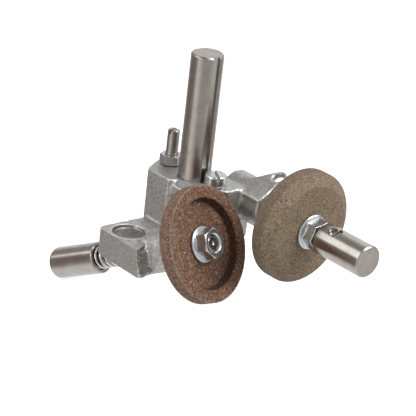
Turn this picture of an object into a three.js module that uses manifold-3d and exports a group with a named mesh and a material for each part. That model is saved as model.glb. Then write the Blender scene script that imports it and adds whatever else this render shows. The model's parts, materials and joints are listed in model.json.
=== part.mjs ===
// Twin-stone sharpener head for a rotary-blade slicer.
// Millimetres, +Z up along the mounting post. The origin is on the post's axis, where it leaves
// the flat top of the casting. +X runs along the truing spindle, towards its knob.
// The grinding spindle (1) is raised and swung away from +X, so the blade edge runs between the
// open face of stone 1 and the open face of stone 2.
import * as THREE from 'three';
import { mergeVertices } from 'three/addons/utils/BufferGeometryUtils.js';
import Module from 'manifold-3d';

const wasm = await Module();
wasm.setup();

// ---------------------------------------------------------------- driving dimensions
const FACETS = 36; // sides of a full-size round
const FINE = 48; // sides of a stone
const COARSE = 24; // sides of a small round
const FIT = 0.06; // radial running clearance of a spindle in its bush
const GAP = 0.3; // gap between pieces that seat on each other
const SEAT = 0.1; // radial gap of a piece that is pressed into another

const POST = { radius: 8, height: 63.3, depth: 24, chamfer: 0.8, grooveWidth: 3.7, grooveDepth: 1.2 };
POST.grooveEnd = -6; // height of the groove's lower end, inside the tower
POST.grooveAngle = -6.5; // degrees about +Z; the second groove is opposite

const TOWER = { left: -18.2, right: 22.5, front: -14.6, back: 13.2, bottom: -31.4, corner: 3 };
TOWER.step = -2; // X where the front face steps back
TOWER.stepDepth = 1.2;
TOWER.slopeTop = -8.9; // Y where the front slope leaves the top
TOWER.slopeDrop = 3.1;
TOWER.slopeInset = [1.3, 9]; // from the step and from the right end
TOWER.lipBottom = -15.5; // the right end overhangs below this height
TOWER.lipDepth = 5.5;
TOWER.noseBack = 5.5; // Y where the nose for the stop screw leaves the left side
TOWER.noseFront = -4;
TOWER.heelMargin = 3.5; // how far the heel under barrel 2 runs past its axis

const ARM = { left: -18, right: 11.5, front: -43, top: -25, thickness: 14, corner: 3.5 };
ARM.taper = 5.5; // how far the right edge runs back towards the tower
ARM.endSlope = 0.3; // the right end leans out towards its foot
ARM.ledge = { front: 2.5, back: 9, drop: 2.2 }; // the wedge-shaped step beside the right edge
ARM.pocket = { x: -6.3, y: -32.9, radius: 8.1, wall: 1.3, depth: 3.3, land: 11.6 };

const SPINDLE = { radius: 4, flangeRadius: 9, flangeThickness: 3 };
const BARREL = { radius: 11, length: 28 }; // the tube that each spindle turns in
const BUSH = { outer: SPINDLE.radius + 2, flangeThickness: 1.2, length: 9 };
BUSH.flangeRadius = BUSH.outer + 1.6;
const STONE = { radius: 28, thickness: 10.9, rim: 6.7, faceRadius: 22.5, cupRadius: 22, cupDepth: 4.1 };
const STONE_ROOM = 2; // radial room round a stone in the casting
const NUT = { flangeRadius: 8.9, flangeThickness: 1.7, acrossFlats: 13, height: 7.4 };
const KNOB = { radius: 7.9, chamfer: 0.5, length: 29.5, room: 0.8 };
const THRUST_WASHER = 1; // thickness

const SPRING_1 = { wire: 1.3, radius: SPINDLE.radius + 1.15, turns: 9 };
const SPRING_2 = { wire: 1.2, radius: SPINDLE.radius + 2.6, turns: 4.5 };

// axis 1; distances along it are from the stone's open face
const GRIND = { origin: [36.4, -19.9, -16.8], elevation: 25.5, azimuth: 13.3 };
GRIND.knobFront = -67.9;
GRIND.knobBack = GRIND.knobFront - KNOB.length;
GRIND.springSeat = { radius: SPRING_1.radius + SPRING_1.wire / 2 + 0.3, depth: 5 }; // in the knob
GRIND.travel = 7.5;
GRIND.tip = 2.4; // front end of the spindle

// axis 2, along +X; distances along it are from the front of the stone's rim
const TRUER = { origin: [57.8, 20.9, -8.7] };
TRUER.barrelFront = -22.1;
TRUER.nutSeat = STONE.thickness - STONE.rim;
TRUER.knobBack = TRUER.nutSeat + NUT.height + 1.8;
TRUER.knobFront = TRUER.knobBack + KNOB.length - 0.5;
TRUER.crossHole = { at: TRUER.knobBack + 8.4, angle: 107, radius: 3.4 }; // angle is from +Y about +X
TRUER.tailWasher = { radius: 6.4, thickness: 1.2 };
TRUER.ring = { radius: 6, thickness: 0.8, groove: 1, tail: 2 }; // tail is the bar left beyond the groove

const STOP = { x: -17.9, radius: 3, top: 17.9, depth: 12, slotWidth: 1.1, slotDepth: 1.6, slotAngle: 102 };
const LOCKNUT = { acrossFlats: 10, height: 5, turn: 20 };
const CHEESE = { y: 1.35, radius: 5.4, height: 4.9, stem: 3, depth: 12 };
CHEESE.washer = { radius: 5.6, thickness: 1.1 };
CHEESE.x = POST.radius + CHEESE.washer.radius + 0.15; // its washer all but touches the post
CHEESE.slot = { width: 1.6, depth: 2, angle: -28 };
const PIN = { x: 3.2, z: -9.6, radius: 2.5, counter: 3.5, counterDepth: 2 };
PIN.length = 2 * (-TOWER.front - TOWER.stepDepth - PIN.counterDepth - 1.6);
const LUG = { hole: 2.6, sink: 1.3, tip: 4.3, thickness: 4.5, slope: 28.7, x: 31, reach: 12 };
LUG.web = [[14, 1], [19.6, 5]]; // its left edge runs through these [X, up the slope] points
const PAST = 1; // how far a cutter runs past the face that it opens

// ---------------------------------------------------------------- materials
const finish = (color, roughness, metalness) =>
  new THREE.MeshStandardMaterial({ color, roughness, metalness });
const castAluminium = () => finish(0x9a9a97, 0.5, 0.9);
const groundSteel = () => finish(0x8f8a84, 0.25, 1);
const zincPlate = () => finish(0xb9bec3, 0.2, 1);
const bronze = () => finish(0xa87b45, 0.4, 1);
const redGrit = () => finish(0x80604e, 0.95, 0);
const taupeGrit = () => finish(0x857867, 0.9, 0);

// ---------------------------------------------------------------- solids
const radians = THREE.MathUtils.degToRad;

function toSolid(geometry, matrix) {
  const bare = geometry.clone();
  bare.deleteAttribute('normal');
  bare.deleteAttribute('uv');
  if (matrix) bare.applyMatrix4(matrix);
  const merged = mergeVertices(bare, 1e-4);
  return new wasm.Manifold(new wasm.Mesh({
    numProp: 3,
    vertProperties: new Float32Array(merged.attributes.position.array),
    triVerts: new Uint32Array(merged.index.array),
  }));
}

function toGeometry(solid) {
  const mesh = solid.getMesh();
  const geometry = new THREE.BufferGeometry();
  geometry.setAttribute('position', new THREE.BufferAttribute(mesh.vertProperties, 3));
  geometry.setIndex(new THREE.BufferAttribute(mesh.triVerts, 1));
  geometry.computeVertexNormals();
  return geometry;
}

// A turned body about +Z from [radius, height] pairs, starting and ending on the axis or closing.
function turned(profile, facets = FACETS) {
  const points = profile.map(([radius, height]) => new THREE.Vector2(radius, height));
  return new THREE.LatheGeometry(points, facets).rotateX(Math.PI / 2);
}

// A round bar about +Z between two heights.
const bar = (radius, low, high, facets = FACETS) =>
  turned([[0, low], [radius, low], [radius, high], [0, high]], facets);

// A ring about +Z.
const ring = (inner, outer, low, high, facets = FACETS) =>
  turned([[inner, low], [outer, low], [outer, high], [inner, high], [inner, low]], facets);

function prism(outline, low, high) {
  const shape = outline instanceof THREE.Shape ? outline : new THREE.Shape(
    outline.map(([x, y]) => new THREE.Vector2(x, y)));
  const geometry = new THREE.ExtrudeGeometry(shape, {
    depth: high - low, bevelEnabled: false, curveSegments: 10,
  });
  return geometry.translate(0, 0, low);
}

// The corners of an upright rectangle.
const box2 = (left, right, front, back) => [[left, front], [right, front], [right, back], [left, back]];

// A polygon whose corners are rounded: each point is [x, y, corner radius].
function rounded(points) {
  const shape = new THREE.Shape();
  const count = points.length;
  points.forEach(([x, y, radius], index) => {
    const here = new THREE.Vector2(x, y);
    const before = points[(index + count - 1) % count];
    const after = points[(index + 1) % count];
    const back = new THREE.Vector2(before[0], before[1]).sub(here).normalize();
    const ahead = new THREE.Vector2(after[0], after[1]).sub(here).normalize();
    const reach = radius / Math.tan(back.angleTo(ahead) / 2);
    const start = here.clone().addScaledVector(back, reach);
    const end = here.clone().addScaledVector(ahead, reach);
    if (index === 0) shape.moveTo(start.x, start.y);
    else shape.lineTo(start.x, start.y);
    shape.quadraticCurveTo(x, y, end.x, end.y);
  });
  shape.closePath();
  return shape;
}

const moved = (x, y, z) => new THREE.Matrix4().makeTranslation(x, y, z);
const spun = (degrees) => new THREE.Matrix4().makeRotationZ(radians(degrees));

// The frame of a spindle: local +Z runs along its axis and local 0 is at its stone.
function spindleFrame(origin, elevation, azimuth) {
  const group = new THREE.Group();
  group.position.set(...origin);
  group.rotation.set(0, radians(90 - elevation), radians(azimuth), 'ZYX');
  group.updateMatrixWorld(true);
  return group;
}

const frame1 = spindleFrame(GRIND.origin, GRIND.elevation, GRIND.azimuth);
const frame2 = spindleFrame(TRUER.origin, 0, 0);
const along1 = frame1.matrixWorld;
const along2 = frame2.matrixWorld;

const flangeLow1 = -STONE.thickness - GAP - SPINDLE.flangeThickness;
const barrelFront1 = flangeLow1 - GAP - BUSH.flangeThickness - SEAT;
const barrelBack1 = barrelFront1 - BARREL.length;
const barrelBack2 = TRUER.barrelFront - BARREL.length;
const knobReliefEnd = GRIND.knobFront + GRIND.travel + 3;
const springChannel = SPRING_1.radius + SPRING_1.wire / 2 + 0.9;
const tailFace = barrelBack2 - BUSH.flangeThickness - SEAT;
const tailWasherLow = tailFace - GAP - TRUER.tailWasher.thickness;
const grooveHigh = tailWasherLow - GAP + (TRUER.ring.groove - TRUER.ring.thickness) / 2;
const tail2 = grooveHigh - TRUER.ring.groove - TRUER.ring.tail;
const acrossPin = new THREE.Matrix4().makeTranslation(PIN.x, 0, PIN.z)
  .multiply(new THREE.Matrix4().makeRotationX(Math.PI / 2));

// ---------------------------------------------------------------- casting
function towerBody() {
  const { left, right, front, back, bottom, corner, noseBack, noseFront, heelMargin } = TOWER;
  const noseEdge = STOP.x - LOCKNUT.acrossFlats * 0.62;
  const outline = rounded([
    [left, front, corner], [right, front, corner], [right, back, corner],
    [left + corner + 2, back, corner], [noseEdge, noseBack, corner], [noseEdge, noseFront, corner],
  ]);
  const column = toSolid(prism(outline, bottom, 0));
  const heelDepth = TRUER.origin[1] + heelMargin;
  const heelLeft = TRUER.origin[0] + barrelBack2 + 1;
  const heel = toSolid(prism(box2(heelLeft, right, 0, heelDepth), bottom, TRUER.origin[2]));
  const underLip = prism(
    box2(right - TOWER.lipDepth, right + PAST, front - PAST, heelDepth + PAST),
    bottom - PAST, TOWER.lipBottom);
  return column.add(heel).subtract(toSolid(underLip));
}

function frontRelief() {
  const { step, front, stepDepth, slopeTop, slopeDrop, slopeInset, right } = TOWER;
  const setBack = prism(box2(step, right + PAST, front - PAST, front + stepDepth), ARM.top, PAST);
  const slope = [
    [slopeTop, 0], [front, -slopeDrop], [front - PAST, -slopeDrop], [front - PAST, PAST],
    [slopeTop, PAST],
  ];
  // the outline's axes (Y, Z) are turned so that it extrudes along +X
  const turn = new THREE.Matrix4().makeBasis(
    new THREE.Vector3(0, 1, 0), new THREE.Vector3(0, 0, 1), new THREE.Vector3(1, 0, 0));
  const wedge = toSolid(prism(slope, step + slopeInset[0], right - slopeInset[1]), turn);
  return toSolid(setBack).add(wedge);
}

function armBody() {
  const { left, right, front, top, thickness, corner, taper, endSlope, ledge } = ARM;
  const foot = right + thickness * endSlope;
  const root = TOWER.front + 2;
  const outline = rounded([
    [left, front, corner], [foot, front, 1.5], [foot - 1.5, root, 1], [left + 2, root, 1],
  ]);
  const slab = toSolid(prism(outline, top - thickness, top));
  // the right end leans, so a sloping block trims it; its axes are (X, Z)
  const lean = [
    [right, top + PAST], [foot + endSlope, top - thickness - PAST],
    [foot + 9, top - thickness - PAST], [foot + 9, top + PAST],
  ];
  const turn = new THREE.Matrix4().makeBasis(
    new THREE.Vector3(1, 0, 0), new THREE.Vector3(0, 0, 1), new THREE.Vector3(0, -1, 0));
  const trimmed = slab.subtract(toSolid(prism(lean, 10, 60), turn));
  // the top layer tapers back towards the tower and leaves a narrow wedge-shaped step
  const taperCut = prism([
    [right - 0.3, front + ledge.front], [right + 9, front + ledge.front],
    [right + 9, TOWER.front - 1], [right - taper - 1.5, TOWER.front - 1],
    [right - taper, TOWER.front - ledge.back],
  ], top - ledge.drop, top + PAST);
  return trimmed.subtract(toSolid(taperCut));
}

function pocketCutter() {
  const { x, y, radius, wall, depth } = ARM.pocket;
  const bowl = [[0, -depth]];
  const rings = 6;
  for (let i = 1; i <= rings; i += 1) {
    const angle = (Math.PI / 2) * (i / rings);
    bowl.push([radius * Math.sin(angle), -wall - (depth - wall) * Math.cos(angle)]);
  }
  return toSolid(turned([...bowl, [radius, PAST], [0, PAST]]), moved(x, y, ARM.top));
}

// The lug is a flat plate that leaves barrel 2 at a tangent, with a countersunk hole in its tip.
function lugBody() {
  const { hole, sink, tip, thickness, slope, x, reach, web } = LUG;
  const shape = new THREE.Shape();
  shape.moveTo(web[0][0], -6);
  shape.lineTo(x + tip, -6);
  shape.lineTo(x + tip, reach);
  shape.absarc(x, reach, tip, 0, radians(135), false);
  shape.lineTo(...web[1]);
  shape.lineTo(...web[0]);
  shape.closePath();
  const place = new THREE.Matrix4().makeRotationX(radians(slope));
  const tangent = radians(90 + slope);
  place.setPosition(0, TRUER.origin[1] + BARREL.radius * Math.cos(tangent),
    TRUER.origin[2] + BARREL.radius * Math.sin(tangent));
  const drill = turned([
    [0, -thickness - PAST], [hole, -thickness - PAST], [hole, -sink], [hole + sink, 0],
    [hole + sink, PAST], [0, PAST],
  ], COARSE).translate(x, reach, 0);
  return { plate: toSolid(prism(shape, -thickness, 0), place), drill: toSolid(drill, place) };
}

function casting() {
  const cutAlong1 = (shape) => toSolid(shape, along1);
  const cutAlong2 = (shape) => toSolid(shape, along2);
  const barrel1 = cutAlong1(bar(BARREL.radius, barrelBack1, barrelFront1));
  const barrel2 = cutAlong2(bar(BARREL.radius, barrelBack2, TRUER.barrelFront));
  const lug = lugBody();
  const { x, y, land } = ARM.pocket;
  const pocketLand = toSolid(bar(land, ARM.top, ARM.top + 20), moved(x, y, 0));
  const stoneRadius = STONE.radius + STONE_ROOM;
  const bore = BUSH.outer + SEAT;
  // each list is joined on, then cut away, in turn
  const steps = [
    { cut: [cutAlong1(bar(stoneRadius, barrelFront1 + SEAT, 30, FINE))] },
    { join: [barrel1.subtract(pocketLand)] },
    { cut: [
      // room for the push knob, its spring, the rear bushes and what stands behind them
      cutAlong1(bar(KNOB.radius + KNOB.room, GRIND.knobBack - 20, knobReliefEnd)),
      cutAlong1(bar(springChannel, GRIND.knobBack, barrelBack1)),
      cutAlong1(bar(BUSH.flangeRadius + 0.4, barrelBack1 - BUSH.flangeThickness - 1, barrelBack1)),
      cutAlong2(bar(BUSH.flangeRadius + 0.4, tail2 - PAST, barrelBack2)),
      cutAlong2(bar(stoneRadius, TRUER.barrelFront + SEAT, 60)),
    ] },
    { join: [barrel2, lug.plate] },
    { cut: [
      lug.drill, pocketCutter(),
      cutAlong1(bar(bore, barrelBack1 - 8, barrelFront1 + 3)),
      cutAlong2(bar(bore, barrelBack2 - 14, TRUER.barrelFront + 3)),
      toSolid(bar(POST.radius + SEAT, -POST.depth - GAP, PAST)),
      toSolid(bar(STOP.radius + SEAT, -STOP.depth - 4, PAST, COARSE), moved(STOP.x, 0, 0)),
      toSolid(bar(CHEESE.stem + SEAT, -CHEESE.depth - 1, PAST, COARSE),
        moved(CHEESE.x, CHEESE.y, 0)),
      toSolid(bar(PIN.radius + SEAT, -PIN.length / 2 - GAP, 20, COARSE), acrossPin),
      toSolid(bar(PIN.counter, -TOWER.front - TOWER.stepDepth - PIN.counterDepth, 20, COARSE),
        acrossPin),
    ] },
  ];
  let body = towerBody().subtract(frontRelief()).add(armBody());
  for (const { join = [], cut = [] } of steps) {
    for (const piece of join) body = body.add(piece);
    for (const piece of cut) body = body.subtract(piece);
  }
  return body;
}

// ---------------------------------------------------------------- post and its fixings
function post() {
  const { radius, height, depth, chamfer, grooveWidth, grooveDepth, grooveEnd, grooveAngle } = POST;
  let body = toSolid(turned([
    [0, -depth], [radius - chamfer, -depth], [radius, -depth + chamfer],
    [radius, height - chamfer], [radius - chamfer, height], [0, height],
  ]));
  for (const angle of [grooveAngle, grooveAngle + 180]) {
    const bottom = radius - grooveDepth;
    // the cutter's run-out: the floor rises to the surface at the groove's lower end
    const cutter = new THREE.Shape([
      new THREE.Vector2(bottom, grooveEnd + 4), new THREE.Vector2(radius + 1, grooveEnd - 1),
      new THREE.Vector2(radius + 1, height + 1), new THREE.Vector2(bottom, height + 1),
    ]);
    const turn = new THREE.Matrix4().makeBasis(
      new THREE.Vector3(1, 0, 0), new THREE.Vector3(0, 0, 1), new THREE.Vector3(0, -1, 0));
    const slot = prism(cutter, -grooveWidth / 2, grooveWidth / 2).applyMatrix4(turn);
    body = body.subtract(toSolid(slot, spun(angle)));
  }
  return body.subtract(toSolid(bar(PIN.radius + SEAT, -20, 20, COARSE), acrossPin));
}

function hexagon(acrossFlats) {
  const corner = acrossFlats / Math.sqrt(3);
  return Array.from({ length: 6 }, (_, i) => {
    const angle = (Math.PI / 3) * i;
    return [corner * Math.cos(angle), corner * Math.sin(angle)];
  });
}

// A hexagon whose end corners are turned off by a cone.
function chamferedHexagon(acrossFlats, low, high, coneBottom) {
  const corner = acrossFlats / Math.sqrt(3);
  const flat = acrossFlats / 2 - 0.2;
  const drop = (corner - flat) * 0.55;
  const cone = turned([
    [0, low], [coneBottom ? flat : corner + 1, low],
    [corner + 1, low + (coneBottom ? drop * 1.8 : 0)],
    [corner + 1, high - drop * 1.8], [flat, high], [0, high],
  ]);
  return toSolid(prism(hexagon(acrossFlats), low, high)).intersect(toSolid(cone));
}

function slotCutter(width, depth, top, length) {
  return prism(box2(-length / 2, length / 2, -width / 2, width / 2), top - depth, top + PAST);
}

function stopScrew() {
  const { radius, top, depth, slotWidth, slotDepth, slotAngle } = STOP;
  const rod = toSolid(turned([
    [0, -depth], [radius - 0.8, -depth], [radius, -depth + 0.8],
    [radius, top - 0.4], [radius - 0.4, top], [0, top],
  ], COARSE));
  return rod.subtract(toSolid(slotCutter(slotWidth, slotDepth, top, 9), spun(slotAngle)));
}

function lockNut() {
  const { acrossFlats, height } = LOCKNUT;
  return chamferedHexagon(acrossFlats, GAP, height, true)
    .subtract(toSolid(bar(STOP.radius + FIT, -1, height + 1, COARSE)));
}

function cheeseScrew() {
  const { radius, height, stem, depth, washer, slot } = CHEESE;
  const base = washer.thickness + 2 * FIT;
  const top = base + height;
  const body = toSolid(turned([
    [0, -depth], [stem, -depth], [stem, base], [radius - 0.3, base], [radius, base + 0.3],
    [radius, top - 0.6], [radius - 0.6, top], [0, top],
  ]));
  return body.subtract(toSolid(slotCutter(slot.width, slot.depth, top, 20), spun(slot.angle)));
}

// ---------------------------------------------------------------- pieces that both spindles use
// The stone's open, recessed face is at height 0 and its bevelled back at -thickness.
function stone() {
  const { radius, thickness, rim, faceRadius, cupRadius, cupDepth } = STONE;
  const bore = SPINDLE.radius + 0.15;
  return turned([
    [bore, -thickness], [faceRadius, -thickness], [radius - 0.4, -rim - 0.3], [radius, -rim],
    [radius, -0.4], [radius - 0.4, 0], [cupRadius, 0], [cupRadius - 0.9, -cupDepth],
    [bore, -cupDepth], [bore, -thickness],
  ], FINE);
}

// A flange nut that stands on height 0.
function flangeNut() {
  const { flangeRadius, flangeThickness, acrossFlats, height } = NUT;
  const skirt = toSolid(turned([
    [0, 0], [flangeRadius, 0], [flangeRadius, 0.7], [flangeRadius - 0.6, 1.2],
    [acrossFlats / 2 - 0.2, flangeThickness + 1], [0, flangeThickness + 1],
  ]));
  const hexagonal = chamferedHexagon(acrossFlats, 0.5, height, false);
  const bore = turned([
    [0, -1], [SPINDLE.radius + FIT, -1], [SPINDLE.radius + FIT, height - 0.8],
    [SPINDLE.radius + 0.9, height + 0.05], [SPINDLE.radius + 0.9, height + 1], [0, height + 1],
  ]);
  return skirt.add(hexagonal).subtract(toSolid(bore));
}

// A flanged bush: the flange is on the side that "sign" points to, standing on the barrel's end.
function bush(barrelEnd, sign) {
  const inner = SPINDLE.radius + FIT;
  const face = barrelEnd + sign * SEAT;
  const outerFace = face + sign * BUSH.flangeThickness;
  const tail = barrelEnd - sign * BUSH.length;
  const profile = [
    [inner, tail], [BUSH.outer, tail], [BUSH.outer, face], [BUSH.flangeRadius, face],
    [BUSH.flangeRadius, outerFace], [inner, outerFace], [inner, tail],
  ];
  return turned(sign > 0 ? profile : profile.reverse());
}

function coil({ wire, radius, turns }, low, high) {
  const ends = wire / 2;
  const steps = Math.round(turns * 12);
  class Helix extends THREE.Curve {
    getPoint(t, target = new THREE.Vector3()) {
      const angle = t * turns * 2 * Math.PI;
      return target.set(radius * Math.cos(angle), radius * Math.sin(angle),
        low + ends + t * (high - low - wire));
    }
  }
  const section = new THREE.Shape();
  for (let i = 0; i < 6; i += 1) {
    const angle = (i / 6) * 2 * Math.PI;
    const x = (wire / 2) * Math.cos(angle);
    const y = (wire / 2) * Math.sin(angle);
    if (i === 0) section.moveTo(x, y);
    else section.lineTo(x, y);
  }
  section.closePath();
  return new THREE.ExtrudeGeometry(section, { steps, extrudePath: new Helix(), bevelEnabled: false });
}

// A spindle with an integral clamping flange and a chamfered stud end.
function spindle(tail, flangeLow, tip) {
  const { radius, flangeRadius, flangeThickness } = SPINDLE;
  return turned([
    [0, tail], [radius - 0.5, tail], [radius, tail + 0.5], [radius, flangeLow],
    [flangeRadius, flangeLow], [flangeRadius, flangeLow + flangeThickness],
    [radius, flangeLow + flangeThickness], [radius, tip - 0.8], [radius - 0.8, tip], [0, tip],
  ]);
}

// ---------------------------------------------------------------- knobs
const knobWall = SPINDLE.radius + SEAT;

function pushKnob() {
  const { knobBack, knobFront, springSeat } = GRIND;
  const { radius, chamfer } = KNOB;
  return toSolid(turned([
    [0, knobBack], [radius - 2.2, knobBack], [radius - 0.6, knobBack + 0.7],
    [radius, knobBack + 2.2], [radius, knobFront - chamfer], [radius - chamfer, knobFront],
    [springSeat.radius, knobFront], [springSeat.radius, knobFront - springSeat.depth],
    [knobWall, knobFront - springSeat.depth], [knobWall, knobBack + 5], [0, knobBack + 5],
  ]));
}

function frontKnob() {
  const { knobBack, knobFront } = TRUER;
  const { radius, chamfer } = KNOB;
  return toSolid(turned([
    [0, knobFront - 6], [knobWall, knobFront - 6], [knobWall, knobBack],
    [radius - chamfer, knobBack], [radius, knobBack + chamfer], [radius, knobFront - chamfer],
    [radius - chamfer, knobFront], [0, knobFront],
  ]));
}

// A matrix that points local +Z out of a spindle's side, at a place along it.
function sidePlace(at, degrees) {
  const outward = new THREE.Matrix4().makeRotationX(-Math.PI / 2);
  return moved(0, 0, at).multiply(spun(degrees)).multiply(outward);
}

// A slotted grub screw that stands on the spindle inside a knob's cross hole.
function grubScrew(radius, length) {
  const low = SPINDLE.radius + 0.25;
  const body = toSolid(turned([
    [0, low], [radius - 0.5, low], [radius, low + 0.5], [radius, low + length - 0.3],
    [radius - 0.3, low + length], [0, low + length],
  ], COARSE));
  return body.subtract(toSolid(slotCutter(0.9, 1, low + length, 12)));
}

const crossPlace2 = sidePlace(TRUER.crossHole.at, TRUER.crossHole.angle);
const grubPlace1 = sidePlace(GRIND.knobBack + 11, -10);
const GRUB_1 = { radius: 2.5, length: 2.8 };
const GRUB_2 = { radius: TRUER.crossHole.radius - 0.15, length: 1.9 };

function knobWithHole(knob, radius, place) {
  const drill = bar(radius, SPINDLE.radius - 1, KNOB.radius + 3, COARSE);
  return knob.subtract(toSolid(drill, place));
}

// ---------------------------------------------------------------- assembly
const group = new THREE.Group();

function put(parent, name, shape, material, matrix) {
  const geometry = shape.isBufferGeometry ? shape : toGeometry(shape);
  const mesh = new THREE.Mesh(geometry, material);
  mesh.name = name;
  if (matrix) matrix.decompose(mesh.position, mesh.quaternion, mesh.scale);
  parent.add(mesh);
}

put(group, 'casting', casting(), castAluminium());
put(group, 'post', post(), groundSteel());
put(group, 'post_cross_pin', bar(PIN.radius, -PIN.length / 2, PIN.length / 2, COARSE),
  groundSteel(), acrossPin);
put(group, 'stop_screw', stopScrew(), groundSteel(), moved(STOP.x, 0, 0));
put(group, 'stop_screw_locknut', lockNut(), zincPlate(),
  moved(STOP.x, 0, 0).multiply(spun(LOCKNUT.turn)));
put(group, 'clamp_screw', cheeseScrew(), zincPlate(), moved(CHEESE.x, CHEESE.y, 0));
put(group, 'clamp_screw_washer', ring(CHEESE.stem + FIT, CHEESE.washer.radius, FIT,
  FIT + CHEESE.washer.thickness), zincPlate(), moved(CHEESE.x, CHEESE.y, 0));

// grinding spindle
const seatFloor1 = GRIND.knobFront - GRIND.springSeat.depth;
const springLow1 = seatFloor1 + THRUST_WASHER + 2 * GAP;
const springHigh1 = barrelBack1 - BUSH.flangeThickness - GAP - SEAT;
group.add(frame1);
put(frame1, 'spindle_1', spindle(GRIND.knobBack + 5.5, flangeLow1, GRIND.tip), groundSteel());
put(frame1, 'bush_1_rear', bush(barrelBack1, -1), bronze());
put(frame1, 'bush_1_front', bush(barrelFront1, 1), bronze());
put(frame1, 'grinding_stone', stone(), redGrit());
put(frame1, 'flange_nut_1', flangeNut(), zincPlate(),
  moved(0, 0, -STONE.cupDepth + GAP).multiply(spun(12)));
put(frame1, 'push_knob', knobWithHole(pushKnob(), GRUB_1.radius + 0.15, grubPlace1), groundSteel());
put(frame1, 'push_knob_grub_screw', grubScrew(GRUB_1.radius, GRUB_1.length), zincPlate(), grubPlace1);
put(frame1, 'thrust_washer_1', ring(SPINDLE.radius + FIT, GRIND.springSeat.radius - GAP,
  seatFloor1 + GAP, seatFloor1 + GAP + THRUST_WASHER), groundSteel());
put(frame1, 'return_spring_1', coil(SPRING_1, springLow1, springHigh1), zincPlate());

// truing spindle: its stone is turned end for end, with the open face towards the casting
const openFace2 = -STONE.rim;
const flangeLow2 = openFace2 + STONE.cupDepth - GAP - SPINDLE.flangeThickness;
const springLow2 = TRUER.barrelFront + BUSH.flangeThickness + GAP + SEAT;
const springHigh2 = flangeLow2 - THRUST_WASHER - 2 * GAP;
group.add(frame2);
const ringGroove = ring(SPINDLE.radius - 0.6, SPINDLE.radius + PAST,
  grooveHigh - TRUER.ring.groove, grooveHigh);
put(frame2, 'spindle_2', toSolid(spindle(tail2, flangeLow2, TRUER.knobFront - 6.5))
  .subtract(toSolid(ringGroove)), groundSteel());
put(frame2, 'bush_2_rear', bush(barrelBack2, -1), bronze());
put(frame2, 'bush_2_front', bush(TRUER.barrelFront, 1), bronze());
const flipped = moved(0, 0, openFace2).multiply(new THREE.Matrix4().makeRotationX(Math.PI));
put(frame2, 'truing_stone', stone(), taupeGrit(), flipped);
put(frame2, 'flange_nut_2', flangeNut(), zincPlate(),
  moved(0, 0, TRUER.nutSeat + GAP).multiply(spun(8)));
put(frame2, 'front_knob', knobWithHole(frontKnob(), TRUER.crossHole.radius, crossPlace2),
  groundSteel());
put(frame2, 'front_knob_grub_screw', grubScrew(GRUB_2.radius, GRUB_2.length), zincPlate(),
  crossPlace2);
put(frame2, 'thrust_washer_2', ring(SPINDLE.radius + FIT, SPRING_2.radius + 1.2,
  springHigh2 + GAP, springHigh2 + GAP + THRUST_WASHER), groundSteel());
put(frame2, 'return_spring_2', coil(SPRING_2, springLow2, springHigh2), zincPlate());
put(frame2, 'tail_washer', ring(SPINDLE.radius + FIT, TRUER.tailWasher.radius, tailWasherLow,
  tailWasherLow + TRUER.tailWasher.thickness), zincPlate());
const ringLow = grooveHigh - (TRUER.ring.groove + TRUER.ring.thickness) / 2;
put(frame2, 'retaining_ring', ring(SPINDLE.radius - 0.5, TRUER.ring.radius, ringLow,
  ringLow + TRUER.ring.thickness), groundSteel());

export default group;
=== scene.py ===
# Twin-stone sharpener head for a rotary-blade slicer.
# Sizes in the dictionaries are millimetres; every finished piece is in metres.
import json
import math

import bmesh
import bpy
from mathutils import Matrix, Vector, noise


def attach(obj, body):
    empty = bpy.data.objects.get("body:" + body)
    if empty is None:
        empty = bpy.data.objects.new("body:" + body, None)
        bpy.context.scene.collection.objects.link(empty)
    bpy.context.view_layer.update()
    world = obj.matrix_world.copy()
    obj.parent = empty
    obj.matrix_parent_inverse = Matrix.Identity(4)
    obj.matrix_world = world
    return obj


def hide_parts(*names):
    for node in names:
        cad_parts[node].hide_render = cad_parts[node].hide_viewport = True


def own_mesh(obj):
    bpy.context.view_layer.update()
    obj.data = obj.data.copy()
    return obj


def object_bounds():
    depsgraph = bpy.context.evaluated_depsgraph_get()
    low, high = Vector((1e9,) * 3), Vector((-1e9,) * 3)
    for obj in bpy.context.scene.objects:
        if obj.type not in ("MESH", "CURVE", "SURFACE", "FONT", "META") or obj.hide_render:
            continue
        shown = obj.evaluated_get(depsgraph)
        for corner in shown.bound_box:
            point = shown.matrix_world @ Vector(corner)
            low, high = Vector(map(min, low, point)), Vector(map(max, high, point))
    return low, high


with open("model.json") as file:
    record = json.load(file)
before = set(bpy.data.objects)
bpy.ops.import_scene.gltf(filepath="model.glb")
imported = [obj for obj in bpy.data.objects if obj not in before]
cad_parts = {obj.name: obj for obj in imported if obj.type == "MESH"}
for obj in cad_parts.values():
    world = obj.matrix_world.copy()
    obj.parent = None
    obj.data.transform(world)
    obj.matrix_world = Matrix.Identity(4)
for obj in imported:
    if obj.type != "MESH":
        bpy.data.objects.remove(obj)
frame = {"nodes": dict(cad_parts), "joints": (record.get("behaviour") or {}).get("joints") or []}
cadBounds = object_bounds()
print("frame loaded:", len(frame["nodes"]), "nodes")

mm = 0.001
joints = {joint["name"]: joint for joint in frame["joints"]}


# ---- places
def spindlePlace(joint):
    # local +Z runs along the spindle, and local 0 is where its stone is
    axis = Vector(joint["axis"]).normalized()
    side = Vector((0, 0, 1)).cross(axis).normalized()
    place = Matrix((side.cross(axis), side, axis)).transposed().to_4x4()
    place.translation = Vector(joint["pos_m"])
    return place


def turnedBy(degrees):
    return Matrix.Rotation(math.radians(degrees), 4, "Z")


def towerPlace(x=0.0, y=0.0, z=0.0, turn=0.0):
    return Matrix.Translation((x * mm, y * mm, z * mm)) @ turnedBy(turn)


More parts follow.
